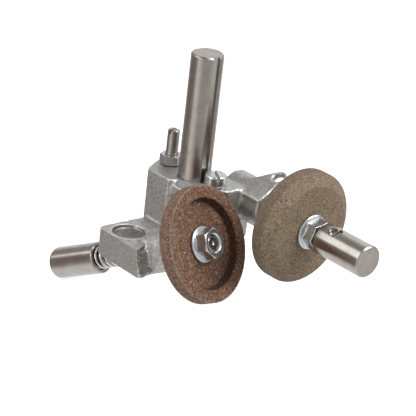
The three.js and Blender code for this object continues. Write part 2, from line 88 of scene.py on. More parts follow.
def alongSpindle(place, height, turn=0.0, flip=False):
    # a place further along a spindle, turned about it, or end for end
    step = place @ Matrix.Translation((0, 0, height * mm)) @ turnedBy(turn)
    return step @ Matrix.Rotation(math.pi, 4, "X") if flip else step


def outOfSide(place, height, turn):
    # local +Z points out of the spindle's side
    return alongSpindle(place, height, turn) @ Matrix.Rotation(-math.pi / 2, 4, "X")


grindPlace = spindlePlace(joints["grinding_spin"])
truePlace = spindlePlace(joints["truing_spin"])

# what both spindles share
spindle = {"radius": 4.0, "fit": 0.06, "flangeRadius": 9.0, "flangeThickness": 3.0}
stone = {"radius": 28.0, "thickness": 10.9, "rim": 6.7, "face": 22.5, "cup": 22.0, "cupDepth": 4.1,
         "longEdge": 1.2}
nut = {"flangeRadius": 8.9, "flange": 1.7, "acrossFlats": 13.0, "height": 7.4}
bush = {"outer": 6.0, "flangeRadius": 7.6, "flange": 1.2, "length": 9.0}
barrelLength = 28.0
gap = 0.3
seat = 0.1
flangeLow1 = -stone["thickness"] - gap - spindle["flangeThickness"]
barrelFront1 = flangeLow1 - gap - bush["flange"] - seat
barrelBack1 = barrelFront1 - barrelLength
flangeLow2 = -stone["rim"] + stone["cupDepth"] - gap - spindle["flangeThickness"]
barrelFront2 = -22.1
barrelBack2 = barrelFront2 - barrelLength


# ---- modelling helpers; each works in millimetres about its own +Z
def turned(points, steps=96, closed=False):
    # points are (radius, height) or (radius, height, corner round), spun into a solid
    bm = bmesh.new()
    verts = [bm.verts.new((point[0], 0, point[1])) for point in points]
    for first, second in zip(verts, verts[1:]):
        bm.edges.new((first, second))
    if closed:
        bm.edges.new((verts[-1], verts[0]))
    rounds = [(vert, point[2]) for vert, point in zip(verts, points) if len(point) > 2]
    for size in sorted({size for _, size in rounds}):
        corners = [vert for vert, own in rounds if own == size]
        bmesh.ops.bevel(bm, geom=corners, offset=size, offset_type="OFFSET", segments=4,
                        profile=0.5, affect="VERTICES", material=-1)
    bmesh.ops.spin(bm, geom=bm.verts[:] + bm.edges[:], axis=(0, 0, 1), cent=(0, 0, 0),
                   angle=2 * math.pi, steps=steps, use_merge=True, use_duplicate=False)
    bmesh.ops.remove_doubles(bm, verts=bm.verts, dist=1e-4)
    bmesh.ops.recalc_face_normals(bm, faces=bm.faces)
    return bm


def facedEnd(radius, height, ring=0.7, depth=0.035):
    # the fine rings that a facing cut leaves on a top end, from the rim to the centre
    count = int(radius / ring)
    return [(radius - index * ring, height - depth * (index % 2)) for index in range(1, count)]


def prism(sides, acrossFlats, low, high):
    bm = bmesh.new()
    corner = acrossFlats / 2 / math.cos(math.pi / sides)
    bmesh.ops.create_cone(bm, cap_ends=True, segments=sides, radius1=corner, radius2=corner,
                          depth=high - low)
    bmesh.ops.translate(bm, verts=bm.verts, vec=(0, 0, (low + high) / 2))
    return bm


def block(sizeX, sizeY, low, high, turn=0.0):
    bm = bmesh.new()
    bmesh.ops.create_cube(bm, size=1)
    bmesh.ops.scale(bm, verts=bm.verts, vec=(sizeX, sizeY, high - low))
    bmesh.ops.translate(bm, verts=bm.verts, vec=(0, 0, (low + high) / 2))
    bmesh.ops.rotate(bm, verts=bm.verts, matrix=Matrix.Rotation(math.radians(turn), 3, "Z"))
    return bm


def moved(bm, matrix):
    bmesh.ops.transform(bm, verts=bm.verts, matrix=matrix)
    return bm


def temporary(bm, name):
    mesh = bpy.data.meshes.new(name)
    bm.to_mesh(mesh)
    bm.free()
    obj = bpy.data.objects.new(name, mesh)
    bpy.context.scene.collection.objects.link(obj)
    return obj


def evaluated(obj):
    # the object's mesh with its modifiers applied, as a bmesh; the object is removed
    bpy.context.view_layer.update()
    graph = bpy.context.evaluated_depsgraph_get()
    mesh = bpy.data.meshes.new_from_object(obj.evaluated_get(graph))
    bm = bmesh.new()
    bm.from_mesh(mesh)
    bpy.data.meshes.remove(mesh)
    bpy.data.objects.remove(obj)
    return bm


def combined(bm, tool, operation):
    # operation is UNION, DIFFERENCE or INTERSECT
    body = temporary(bm, "work")
    cutter = temporary(tool, "tool")
    modifier = body.modifiers.new("combine", "BOOLEAN")
    modifier.operation = operation
    modifier.solver = "EXACT"
    modifier.object = cutter
    result = evaluated(body)
    bpy.data.objects.remove(cutter)
    bmesh.ops.remove_doubles(result, verts=result.verts, dist=1e-4)
    return result


def edgesOver(bm, degrees):
    limit = math.radians(degrees)
    return [edge for edge in bm.edges if edge.is_manifold and edge.calc_face_angle() > limit]


def softened(bm, width, degrees=28, segments=2):
    # a small round on every edge that a tool left
    bmesh.ops.dissolve_limit(bm, angle_limit=math.radians(0.5), verts=bm.verts, edges=bm.edges)
    bmesh.ops.bevel(bm, geom=edgesOver(bm, degrees), offset=width, offset_type="OFFSET",
                    segments=segments, profile=0.5, affect="EDGES", clamp_overlap=True, material=-1)
    bmesh.ops.remove_doubles(bm, verts=bm.verts, dist=2e-3)
    return bm


def addPiece(name, bm, place, body, material, nodes, sharp=32, flat=True):
    # the finished mesh goes into the object's own frame, in metres
    moved(bm, place @ Matrix.Scale(mm, 4))
    bmesh.ops.recalc_face_normals(bm, faces=bm.faces)
    for face in bm.faces:
        face.smooth = True
    for edge in edgesOver(bm, sharp):
        edge.smooth = False
    piece = temporary(bm, name)
    piece.data.materials.append(material)
    if flat:
        # large flat faces keep one even shade beside their small rounds
        weights = piece.modifiers.new("evenFaces", "WEIGHTED_NORMAL")
        weights.keep_sharp = True
    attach(piece, body)
    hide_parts(*nodes)
    return piece


# ---- materials
def newMaterial(name):
    material = bpy.data.materials.new(name)
    material.use_nodes = True
    tree = material.node_tree
    shader = tree.nodes["Principled BSDF"]
    coordinates = tree.nodes.new("ShaderNodeTexCoord")
    return material, tree, shader, coordinates.outputs["Object"]


def mapped(tree, source, scale):
    mapping = tree.nodes.new("ShaderNodeMapping")
    mapping.inputs["Scale"].default_value = scale
    tree.links.new(source, mapping.inputs["Vector"])
    return mapping.outputs["Vector"]


def noiseNode(tree, source, size, detail=4.0, roughness=0.6):
    # size is the width of a patch in millimetres
    node = tree.nodes.new("ShaderNodeTexNoise")
    node.inputs["Scale"].default_value = 1 / (size * mm)
    node.inputs["Detail"].default_value = detail
    node.inputs["Roughness"].default_value = roughness
    tree.links.new(source, node.inputs["Vector"])
    return node.outputs["Fac"]


def grainNode(tree, source, size):
    node = tree.nodes.new("ShaderNodeTexVoronoi")
    node.inputs["Scale"].default_value = 1 / (size * mm)
    tree.links.new(source, node.inputs["Vector"])
    return node


def ramp(tree, source, stops, interpolation="LINEAR"):
    node = tree.nodes.new("ShaderNodeValToRGB")
    node.color_ramp.interpolation = interpolation
    elements = node.color_ramp.elements
    while len(elements) < len(stops):
        elements.new(0.5)
    for element, (position, color) in zip(elements, stops):
        element.position = position
        element.color = (*color, 1)
    tree.links.new(source, node.inputs["Fac"])
    return node.outputs["Color"]


def spread(tree, source, low, high, start=0.3, end=0.7):
    # a noise turned into a value between low and high
    node = tree.nodes.new("ShaderNodeMapRange")
    node.inputs["From Min"].default_value = start
    node.inputs["From Max"].default_value = end
    node.inputs["To Min"].default_value = low
    node.inputs["To Max"].default_value = high
    tree.links.new(source, node.inputs["Value"])
    return node.outputs["Result"]


def mixed(tree, factor, first, second, blend="MIX"):
    # each input is a socket or a fixed colour
    node = tree.nodes.new("ShaderNodeMix")
    node.data_type = "RGBA"
    node.blend_type = blend
    sockets = [(factor, node.inputs[0]), (first, node.inputs[6]), (second, node.inputs[7])]
    for value, socket in sockets:
        if isinstance(value, bpy.types.NodeSocket):
            tree.links.new(value, socket)
        elif isinstance(value, (int, float)):
            socket.default_value = value
        else:
            socket.default_value = (*value, 1)
    return node.outputs[2]


def attribute(tree, name):
    node = tree.nodes.new("ShaderNodeAttribute")
    node.attribute_name = name
    return node.outputs["Fac"]


def bumped(tree, shader, layers):
    # layers are (height socket, depth in millimetres), each on top of the last
    previous = None
    for height, depth in layers:
        node = tree.nodes.new("ShaderNodeBump")
        node.inputs["Distance"].default_value = depth * mm
        tree.links.new(height, node.inputs["Height"])
        if previous:
            tree.links.new(previous, node.inputs["Normal"])
        previous = node.outputs["Normal"]
    tree.links.new(previous, shader.inputs["Normal"])


castLook = {
    "dark": (0.27, 0.265, 0.255), "light": (0.56, 0.555, 0.54), "worn": (0.92, 0.91, 0.89),
    # the first colour below is painted shade, which darkens the cup and the hollows
    "paintedShade": (0.5, 0.49, 0.48), "milled": ((0.36, 0.355, 0.345), (0.52, 0.515, 0.5)),
    "metallic": 0.8, "roughness": (0.34, 0.5),
    # the widths in millimetres of the mottle, of its clouds, of the pits and of the tool lines
    "mottle": 1.3, "clouds": 9, "pits": 0.5, "lines": 0.28,
}


def castMaterial():
    material, tree, shader, place = newMaterial("castAluminium")
    look = castLook
    patches = noiseNode(tree, place, look["mottle"], 5)
    clouds = noiseNode(tree, place, look["clouds"], 3)
    grain = noiseNode(tree, place, look["pits"], 3, 0.7)
    base = ramp(tree, patches, [(0.32, look["dark"]), (0.66, look["light"])])
    base = mixed(tree, spread(tree, clouds, 0.0, 0.35), base, look["light"])
    base = mixed(tree, attribute(tree, "wear"), base, look["worn"])
    # painted shade: the cup and the hollows are multiplied by a darker colour
    shadedBase = mixed(tree, 1.0, base, look["paintedShade"], "MULTIPLY")
    base = mixed(tree, attribute(tree, "paintedShade"), base, shadedBase)
    # fine upright tool lines on the milled face
    lines = noiseNode(tree, mapped(tree, place, (1, 1, 0.05)), look["lines"], 3, 0.65)
    milled = attribute(tree, "milled")
    milledDark, milledLight = look["milled"]
    milledColor = ramp(tree, lines, [(0.35, milledDark), (0.65, milledLight)])
    base = mixed(tree, milled, base, milledColor)
    tree.links.new(base, shader.inputs["Base Color"])
    shader.inputs["Metallic"].default_value = look["metallic"]
    rough = spread(tree, grain, *look["roughness"])
    tree.links.new(rough, shader.inputs["Roughness"])
    lineHeight = mixed(tree, milled, (0.5, 0.5, 0.5), lines)
    castHeight = mixed(tree, milled, grain, (0.5, 0.5, 0.5))
    bumped(tree, shader, [(patches, 0.12), (castHeight, 0.05), (lineHeight, 0.05)])
    return material


def steelMaterial(name, dark, light, roughness, lineScale):
    # lineScale squeezes the tool marks: a small number draws them out along that direction
    material, tree, shader, place = newMaterial(name)
    lines = noiseNode(tree, mapped(tree, place, lineScale), 0.35, 4, 0.65)
    clouds = noiseNode(tree, place, 6, 4)
    specks = noiseNode(tree, place, 0.7, 2)
    base = ramp(tree, clouds, [(0.3, dark), (0.7, light)])
    speckColor = tuple(channel * 0.55 for channel in dark)
    base = mixed(tree, spread(tree, specks, 0.0, 0.3, 0.62, 0.72), base, speckColor)
    tree.links.new(base, shader.inputs["Base Color"])
    shader.inputs["Metallic"].default_value = 1.0
    rough = spread(tree, lines, roughness * 0.8, roughness * 1.3)
    tree.links.new(rough, shader.inputs["Roughness"])
    bumped(tree, shader, [(lines, 0.012)])
    return material


def zincMaterial():
    material, tree, shader, place = newMaterial("zincPlate")
    clouds = noiseNode(tree, place, 3, 4)
    grain = noiseNode(tree, place, 0.5, 3)
    base = ramp(tree, clouds, [(0.3, (0.5, 0.515, 0.53)), (0.7, (0.66, 0.68, 0.7))])
    tree.links.new(base, shader.inputs["Base Color"])
    shader.inputs["Metallic"].default_value = 1.0
    tree.links.new(spread(tree, grain, 0.24, 0.36), shader.inputs["Roughness"])
    bumped(tree, shader, [(grain, 0.02), (clouds, 0.05)])
    return material


def bronzeMaterial():
    material, tree, shader, place = newMaterial("sinteredBronze")
    grain = noiseNode(tree, place, 0.35, 3)
    base = ramp(tree, grain, [(0.35, (0.22, 0.14, 0.07)), (0.65, (0.45, 0.31, 0.17))])
    tree.links.new(base, shader.inputs["Base Color"])
    shader.inputs["Metallic"].default_value = 0.9
    shader.inputs["Roughness"].default_value = 0.42
    bumped(tree, shader, [(grain, 0.03)])
    return material


# painted shade: what the colour of the stone is multiplied by on the wall of its recess
recessShade = (0.42, 0.36, 0.32)


def gritMaterial(name, colors, grainSize, dust, depth, rimDustAndPaintedLight):
    # colors run from the darkest grains to the lightest; dust is a pale film and its amount,
    # and the last colour and amount are for the outer side: on the coarse stone pale metal dust
    # with a painted reflection of the floor, on the fine stone painted shade
    material, tree, shader, place = newMaterial(name)
    grains = grainNode(tree, place, grainSize)
    fine = grainNode(tree, place, grainSize * 0.55)
    single = tree.nodes.new("ShaderNodeSeparateColor")
    tree.links.new(grains.outputs["Color"], single.inputs["Color"])
    singleFine = tree.nodes.new("ShaderNodeSeparateColor")
    tree.links.new(fine.outputs["Color"], singleFine.inputs["Color"])
    stops = [(index / len(colors), color) for index, color in enumerate(colors)]
    base = ramp(tree, single.outputs["Red"], stops, "CONSTANT")
    baseFine = ramp(tree, singleFine.outputs["Green"], stops, "CONSTANT")
    base = mixed(tree, 0.38, base, baseFine)
    clouds = noiseNode(tree, place, 8, 4)
    base = mixed(tree, spread(tree, clouds, 0.0, dust[1]), base, dust[0])
    # painted light on the outer side, in patches: a painted floor reflection with dust on the
    # coarse stone, painted shade on the fine one
    rimPainted = tree.nodes.new("ShaderNodeMath")
    rimPainted.operation = "MULTIPLY"
    tree.links.new(attribute(tree, "side"), rimPainted.inputs[0])
    rimPatches = noiseNode(tree, place, 4, 3)
    tree.links.new(spread(tree, rimPatches, 0.3 * rimDustAndPaintedLight[1], rimDustAndPaintedLight[1]), rimPainted.inputs[1])
    base = mixed(tree, rimPainted.outputs[0], base, rimDustAndPaintedLight[0])
    # painted shade on the wall of the recess
    shadedWall = mixed(tree, 1.0, base, recessShade, "MULTIPLY")
    base = mixed(tree, attribute(tree, "recess"), base, shadedWall)
    tree.links.new(base, shader.inputs["Base Color"])
    shader.inputs["Roughness"].default_value = 0.85
    shader.inputs["Specular IOR Level"].default_value = 0.35
    bumped(tree, shader, [(grains.outputs["Distance"], depth),
                          (fine.outputs["Distance"], depth * 0.6)])
    return material


castAluminium = castMaterial()
postSteel = steelMaterial("groundPost", (0.36, 0.335, 0.31), (0.45, 0.42, 0.395), 0.28,
                          (1, 1, 0.04))
knobSteel = steelMaterial("turnedKnob", (0.42, 0.39, 0.365), (0.52, 0.49, 0.46), 0.17, (1, 1, 1))
plainSteel = steelMaterial("plainSteel", (0.36, 0.34, 0.32), (0.47, 0.45, 0.43), 0.24, (1, 1, 1))
springSteel = steelMaterial("springWire", (0.68, 0.68, 0.68), (0.82, 0.82, 0.82), 0.28, (1, 1, 1))
zincPlate = zincMaterial()
sinteredBronze = bronzeMaterial()
# the last pair is pale metal dust with a painted reflection of the floor on the outer side
coarseGrit = gritMaterial(
    "coarseGrit",
    [(0.012, 0.009, 0.007), (0.05, 0.024, 0.014), (0.13, 0.052, 0.028), (0.21, 0.082, 0.044),
     (0.16, 0.067, 0.037), (0.09, 0.058, 0.038), (0.25, 0.112, 0.066), (0.38, 0.28, 0.2)],
    0.62, ((0.2, 0.14, 0.1), 0.2), 0.25, ((0.34, 0.29, 0.25), 0.5))
# the last pair is painted shade on the outer side
fineGrit = gritMaterial(
    "fineGrit",
    [(0.05, 0.035, 0.022), (0.12, 0.083, 0.054), (0.2, 0.147, 0.098), (0.2, 0.108, 0.062),
     (0.225, 0.167, 0.113), (0.165, 0.135, 0.094), (0.32, 0.25, 0.18), (0.24, 0.205, 0.16)],
    0.6, ((0.234, 0.18, 0.127), 0.3), 0.15, ((0.1, 0.075, 0.06), 0.6))
print("materials made")


# ---- casting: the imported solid, with its edges and inner corners run together as a casting's are
casting = {
    "voxel": 0.5, "outerPasses": 5, "waves": 0.09, "waveSize": 3.2, "fineWaveSize": 1.3,
    # inner corners are run together below the tower's top and behind the arm
    "innerPasses": 34, "innerRings": 3, "innerHollow": 0.045, "innerFront": -21, "innerTop": -1,
    "armFront": -43.0, "towerTop": 0.0, "armTop": -25.0, "armRight": 7.0, "armBack": -18,
    "pocket": (-6.3, -32.9), "pocketRadius": 8.1,
    # round the pocket: (radius, width, height) of its rounded lip and of the crease outside it,
    # which both fade out over these X where the cup meets the tower's side
    "lip": (9.6, 0.9, 0.28), "crease": (11.3, 0.6, -0.3), "lipFade": (-12, 8),
    "pits": 0.3, "pitSize": 1.1, "pitShare": 0.4, "pitPlace": (7, 3, 1), "pitGain": 6,
    # the cup's floor is closed over the room for the spring below it
    "cupFloor": (-28.7, -28.1, 4.2),
    # a tool mark near the arm's corner: where, half its length, and its depth
    "dent": (6.0, -38.8), "dentLength": 1.7, "dentWidth": 0.8, "dentDepth": 0.55,
    # the far barrel and its lug are softer than the rest beyond this X
    "softX": 16.0, "softPasses": 30,
    # the stop rod's bore stays this wide down to this height
    "stopBore": (-17.9, 0.0), "stopBoreRadius": 3.3, "stopBoreCore": 1.5, "stopBoreEnd": -15.3,
    # how fast painted shade fills hollows and wear brightens edges
    "shadeGain": 6, "wearGain": 26, "wearStart": 0.3,
}


def looseCopy(node):
    bm = bmesh.new()
    bm.from_mesh(frame["nodes"][node].data)
    moved(bm, Matrix.Scale(1 / mm, 4))
    bmesh.ops.remove_doubles(bm, verts=bm.verts, dist=1e-3)
    return bm


def remeshed(bm, voxel):
    work = temporary(bm, "work")
    modifier = work.modifiers.new("voxels", "REMESH")
    modifier.mode = "VOXEL"
    modifier.voxel_size = voxel
    return evaluated(work)


def hollowness(vert):
    # above 0 in an inner corner, below 0 on an outer edge
    middle = Vector((0, 0, 0))
    for edge in vert.link_edges:
        middle += edge.other_vert(vert).co
    return (middle / len(vert.link_edges) - vert.co).dot(vert.normal)


def grown(verts, rings):
    found = set(verts)
    for _ in range(rings):
        found |= {edge.other_vert(vert) for vert in found for edge in vert.link_edges}
    return found


def relaxed(bm, verts, passes):
    for _ in range(passes):
        bmesh.ops.smooth_vert(bm, verts=verts, factor=0.5, use_axis_x=True, use_axis_y=True,
                              use_axis_z=True)


def bell(distance, width):
    return math.exp(-(distance / width) ** 2)


def clamped(value):
    return min(max(value, 0), 1)


def shapePocket(bm):
    # the lip and crease left round the cup, and the pits in the arm's rough end
    values = casting
    centre = Vector(values["pocket"])
    dent = Vector(values["dent"])
    fadeStart, fadeLength = values["lipFade"]
    for vert in bm.verts:
        x, y, z = vert.co
        onArmTop = abs(z - values["armTop"]) < 0.6 and y < values["armBack"]
        if onArmTop and vert.normal.z > 0.7:
            reach = (Vector((x, y)) - centre).length
            fade = clamped((x - fadeStart) / fadeLength)
            for radius, width, height in (values["lip"], values["crease"]):
                vert.co.z += height * bell(reach - radius, width) * fade
            # the mark is drawn out along the diagonal between +X and +Y
            fromDent = Vector((x, y)) - dent
            across = fromDent.dot(Vector((0.7, -0.7)))
            along = fromDent.dot(Vector((0.7, 0.7)))
            mark = bell(along, values["dentLength"]) * bell(across, values["dentWidth"])
            vert.co.z -= values["dentDepth"] * mark
        if x > values["armRight"] and vert.normal.x > 0.6 and z < values["armTop"] - 1.5:
            point = vert.co / values["pitSize"] + Vector(values["pitPlace"])
            pit = noise.noise(point) - values["pitShare"]
            vert.co -= vert.normal * clamped(pit * values["pitGain"]) * values["pits"]


def makeCasting():
    values = casting
    low, high, radius = values["cupFloor"]
    floor = moved(turned([(0, low), (radius, low), (radius, high), (0, high)], steps=48),
                  Matrix.Translation((*values["pocket"], 0)))
    bm = remeshed(combined(looseCopy("casting"), floor, "UNION"), values["voxel"])
    bm.normal_update()
    front = values["armFront"]
    onFront = [vert for vert in bm.verts if abs(vert.co.y - front) < 0.2]
    onTop = [vert for vert in bm.verts if abs(vert.co.z - values["towerTop"]) < 0.2]
    inner = grown([vert for vert in bm.verts if hollowness(vert) > values["innerHollow"]],
                  values["innerRings"])
    inner = [vert for vert in inner
             if vert.co.y > values["innerFront"] and vert.co.z < values["innerTop"]]
    relaxed(bm, inner, values["innerPasses"])
    relaxed(bm, bm.verts, values["outerPasses"])
    relaxed(bm, [vert for vert in bm.verts if vert.co.x > values["softX"]], values["softPasses"])
    bm.normal_update()
    for vert in onFront:
        vert.co.y = front
    frontSet = set(onFront)
    shapePocket(bm)
    topSet = set(onTop)
    wear = bm.verts.layers.float.new("wear")
    milled = bm.verts.layers.float.new("milled")
    paintedShade = bm.verts.layers.float.new("paintedShade")
    centre = Vector(values["pocket"])
    for vert in bm.verts:
        inCup = ((vert.co.xy - centre).length < values["pocketRadius"]
                 and values["cupFloor"][0] - 1 < vert.co.z < values["armTop"] - 0.25)
        # painted shade over the whole cup and in every hollow
        vert[paintedShade] = 1.0 if inCup else clamped(hollowness(vert) * values["shadeGain"])
        edgeAmount = clamped(-hollowness(vert) * values["wearGain"] - values["wearStart"])
        rub = 0.55 + 0.9 * noise.noise(vert.co * 0.9)
        vert[wear] = clamped(edgeAmount * rub)
        vert[milled] = 1.0 if vert in frontSet else 0.0
    for vert in bm.verts:
        if vert in frontSet:
            continue
        share = 0.3 if vert in topSet else 1.0
        swell = noise.noise(vert.co / values["waveSize"])
        swell += 0.5 * noise.noise(vert.co / values["fineWaveSize"])
        vert.co += vert.normal * swell * values["waves"] * share
    bore = Vector(values["stopBore"])
    for vert in bm.verts:
        reach = vert.co.xy - bore
        inBore = values["stopBoreCore"] < reach.length < values["stopBoreRadius"]
        if inBore and vert.co.z > values["stopBoreEnd"]:
            reach = reach.normalized() * values["stopBoreRadius"]
            vert.co.x, vert.co.y = bore + reach
    return bm


addPiece("casting_body", makeCasting(), Matrix.Identity(4), "body", castAluminium,
         ["casting"], sharp=40, flat=False)
print("casting made")


# ---- post and what is screwed into the tower
post = {
    "radius": 8.0, "height": 63.3, "depth": 24.0, "chamfer": 0.8, "grooveWidth": 3.7,
    "grooveDepth": 1.2, "grooveEnd": -6.0, "grooveTurn": -6.5,
}


def grooveCutter(turn):
    bm = block(4, post["grooveWidth"], post["grooveEnd"] - 1, post["height"] + 1)
    inside = post["radius"] - post["grooveDepth"]
    bmesh.ops.translate(bm, verts=bm.verts, vec=(inside + 2, 0, 0))
    # the floor rises to the surface at the lower end
    foot = [vert for vert in bm.verts if vert.co.x < inside + 0.1 and vert.co.z < post["grooveEnd"]]
    bmesh.ops.translate(bm, verts=foot, vec=(0, 0, 5))
    bmesh.ops.rotate(bm, verts=bm.verts, matrix=Matrix.Rotation(math.radians(turn), 3, "Z"))
    return bm


def makePost():
    radius, height, depth = post["radius"], post["height"], post["depth"]
    chamfer = post["chamfer"]
    bm = turned([
        (0, -depth), (radius - chamfer, -depth, 0.1), (radius, chamfer - depth, 0.1),
        (radius, height - chamfer, 0.12), (radius - chamfer, height, 0.12),
        *facedEnd(radius - chamfer, height), (0, height),
    ], steps=128)
    for turn in (post["grooveTurn"], post["grooveTurn"] + 180):
        bm = combined(bm, grooveCutter(turn), "DIFFERENCE")
    return softened(bm, 0.2, 38, 3)


addPiece("mounting_post", makePost(), towerPlace(), "body", postSteel, ["post"])

stop = {
    "x": -17.9, "radius": 3.0, "core": 2.7, "top": 17.9, "depth": 11.4, "slot": (1.1, 1.6),
    "slotTurn": 102.0,
}
lockNut = {"acrossFlats": 10.0, "height": 5.0, "turn": 20.0, "thread": 3.06}
clampScrew = {
    "x": 13.75, "y": 1.35, "radius": 5.4, "height": 4.9, "stem": 3.0, "depth": 12.0,
    "slot": (1.6, 2.0), "slotTurn": -28.0, "washer": (5.6, 1.1), "lift": 0.06,
}
crossPin = {"x": 3.2, "z": -9.6, "radius": 2.5, "length": 19.6}


def slotted(bm, width, depth, top, length, turn=0.0):
    return combined(bm, block(length, width, top - depth, top + 1, turn), "DIFFERENCE")


def chamferedHexagon(acrossFlats, low, high, bothEnds):
    # the corners of a hexagon's ends are turned off by a cone
    corner = acrossFlats / math.sqrt(3)
    flat = acrossFlats / 2 - 0.15
    drop = (corner - flat) * 0.62
    foot = [(0, low), (flat, low), (corner + 0.3, low + drop)] if bothEnds else [
        (0, low), (corner + 0.3, low)]
    cone = turned(foot + [(corner + 0.3, high - drop), (flat, high), (0, high)])
    return combined(prism(6, acrossFlats, low, high), cone, "INTERSECT")


def makeStopScrew():
    # the core is the part inside the tower's thread
    radius, core, top, depth = stop["radius"], stop["core"], stop["top"], stop["depth"]
    bm = turned([
        (0, -depth), (core - 0.8, -depth, 0.1), (core, 0.8 - depth, 0.1), (core, -1.0),
        (radius, -0.6), (radius, top - 0.4, 0.15), (radius - 0.4, top, 0.12), (0, top),
    ], steps=64)
    width, deep = stop["slot"]
    return softened(slotted(bm, width, deep, top, 9, stop["slotTurn"]), 0.08, 40)


def makeLockNut():
    bm = chamferedHexagon(lockNut["acrossFlats"], gap, lockNut["height"], True)
    bore = turned([
        (0, -1), (lockNut["thread"] + 0.5, -1), (lockNut["thread"] + 0.5, gap + 0.1),
        (lockNut["thread"], gap + 0.6), (lockNut["thread"], lockNut["height"] - 0.6),
        (lockNut["thread"] + 0.7, lockNut["height"] + 0.1), (lockNut["thread"] + 0.7, 8), (0, 8),
    ])
    return softened(combined(bm, bore, "DIFFERENCE"), 0.12)


def makeClampScrew():
    values = clampScrew
    base = values["washer"][1] + 2 * values["lift"]
    top = base + values["height"]
    radius = values["radius"]
    bm = turned([
        (0, -values["depth"]), (values["stem"], -values["depth"], 0.2), (values["stem"], base),
        (radius - 0.3, base, 0.1), (radius, base + 0.3, 0.15), (radius, top - 0.6, 0.5),
        (radius - 0.6, top, 0.3), (0, top),
    ], steps=80)
    width, deep = values["slot"]
    return softened(slotted(bm, width, deep, top, 20, values["slotTurn"]), 0.1, 40)


def makeCrossPin():
    radius, half = crossPin["radius"], crossPin["length"] / 2
    return turned([
        (0, -half), (radius - 0.4, -half, 0.15), (radius, 0.4 - half, 0.1),
        (radius, half - 0.4, 0.1), (radius - 0.4, half, 0.15), (0, half),
    ], steps=48)


def plainRing(inner, outer, low, high, corner=0.15):
    return turned([(inner, low, corner), (outer, low, corner), (outer, high, corner),
                   (inner, high, corner)], steps=72, closed=True)


addPiece("stop_rod", makeStopScrew(), towerPlace(stop["x"]), "stop_screw", postSteel,
         ["stop_screw"])
addPiece("stop_nut", makeLockNut(), towerPlace(stop["x"], turn=lockNut["turn"]), "body", zincPlate,
         ["stop_screw_locknut"])
addPiece("slotted_screw", makeClampScrew(), towerPlace(clampScrew["x"], clampScrew["y"]), "body",
         zincPlate, ["clamp_screw"])
washerRadius, washerThickness = clampScrew["washer"]
addPiece("screw_washer",
         plainRing(clampScrew["stem"] + clampScrew["lift"], washerRadius, clampScrew["lift"],
                   clampScrew["lift"] + washerThickness, 0.12),
         towerPlace(clampScrew["x"], clampScrew["y"]), "body", zincPlate,
         ["clamp_screw_washer"])
addPiece("cross_pin", makeCrossPin(),
         towerPlace(crossPin["x"], 0, crossPin["z"]) @ Matrix.Rotation(math.pi / 2, 4, "X"),
         "body", plainSteel, ["post_cross_pin"])
print("post and its fixings made")


# ---- stones
# grain size, and how far the grains stand out
grit = {"coarse": (0.62, 0.07), "fine": (0.5, 0.035)}


def makeStone(edgeRound, backRound, sideAmount, cornerAmount, grainSize, proud):
    values = stone
    bore = spindle["radius"] + 0.15
    radius, thickness, rim = values["radius"], values["thickness"], values["rim"]
    bm = turned([
        (bore, -thickness, 0.2), (values["face"], -thickness, backRound),
        (radius, -rim, edgeRound), (radius, 0, edgeRound * 0.8),
        (values["cup"], 0, 0.25), (values["cup"] - 0.5, -values["cupDepth"], 0.5),
        (bore, -values["cupDepth"], 0.2),
    ], steps=300, closed=True)
    # rings across the faces, so that the grains can stand out of them
    for _ in range(4):
        long = [edge for edge in bm.edges if edge.calc_length() > values["longEdge"]]
        if not long:
            break
        bmesh.ops.subdivide_edges(bm, edges=long, cuts=1, use_grid_fill=True)
    bm.normal_update()
    recess = bm.verts.layers.float.new("recess")
    side = bm.verts.layers.float.new("side")
    for vert in bm.verts:
        reach = vert.co.xy.length
        # how much of the painted light on the outer side each point takes, at the corners and along
        # the side
        atCorner = reach > radius - 0.7 and min(-vert.co.z, vert.co.z + rim) < 0.5
        vert[side] = cornerAmount if atCorner else sideAmount if reach > radius - 0.4 else 0.0
        # the wall of the recess is marked for painted shade
        inWall = abs(reach - values["cup"] + 0.3) < 0.9
        vert[recess] = 1.0 if inWall and -values["cupDepth"] - 0.2 < vert.co.z < -0.3 else 0.0
        point = vert.co / grainSize
        lift = noise.noise(point) + 0.5 * noise.noise(point * 2.1)
        vert.co += vert.normal * lift * proud
    return bm


addPiece("coarse_stone", makeStone(0.3, 0.4, 0.45, 1.0, *grit["coarse"]), grindPlace,
         "grinding_spindle", coarseGrit, ["grinding_stone"], sharp=60, flat=False)
addPiece("fine_stone", makeStone(0.5, 0.7, 1.0, 0.2, *grit["fine"]),
         alongSpindle(truePlace, -stone["rim"], flip=True), "truing_spindle",
         fineGrit, ["truing_stone"], sharp=60, flat=False)
print("stones made")


# ---- spindles, bushes and nuts
def makeSpindle(tail, flangeLow, tip, groove=None):
    radius, flangeRadius = spindle["radius"], spindle["flangeRadius"]
    flangeHigh = flangeLow + spindle["flangeThickness"]
    points = [(0, tail + 0.8), (0.9, tail, 0.1), (radius - 0.5, tail, 0.1),
              (radius, tail + 0.5, 0.1)]
    if groove:
        low, high = groove
        points += [(radius, low), (radius - 0.6, low), (radius - 0.6, high), (radius, high)]
    points += [
        (radius, flangeLow), (flangeRadius, flangeLow, 0.3), (flangeRadius, flangeHigh, 0.3),
        (radius, flangeHigh), (radius, tip - 0.8, 0.1), (radius - 0.8, tip, 0.15), (1.1, tip, 0.1),
        (0, tip - 1),
    ]
    return turned(points, steps=72)


def makeBush(end, sign):
    inner = spindle["radius"] + spindle["fit"]
    face = end + sign * seat
    outerFace = face + sign * bush["flange"]
    tail = end - sign * bush["length"]
    return turned([
        (inner, tail), (bush["outer"], tail, 0.2), (bush["outer"], face),
        (bush["flangeRadius"], face, 0.1), (bush["flangeRadius"], outerFace, 0.25),
        (inner, outerFace, 0.25),
    ], steps=72, closed=True)


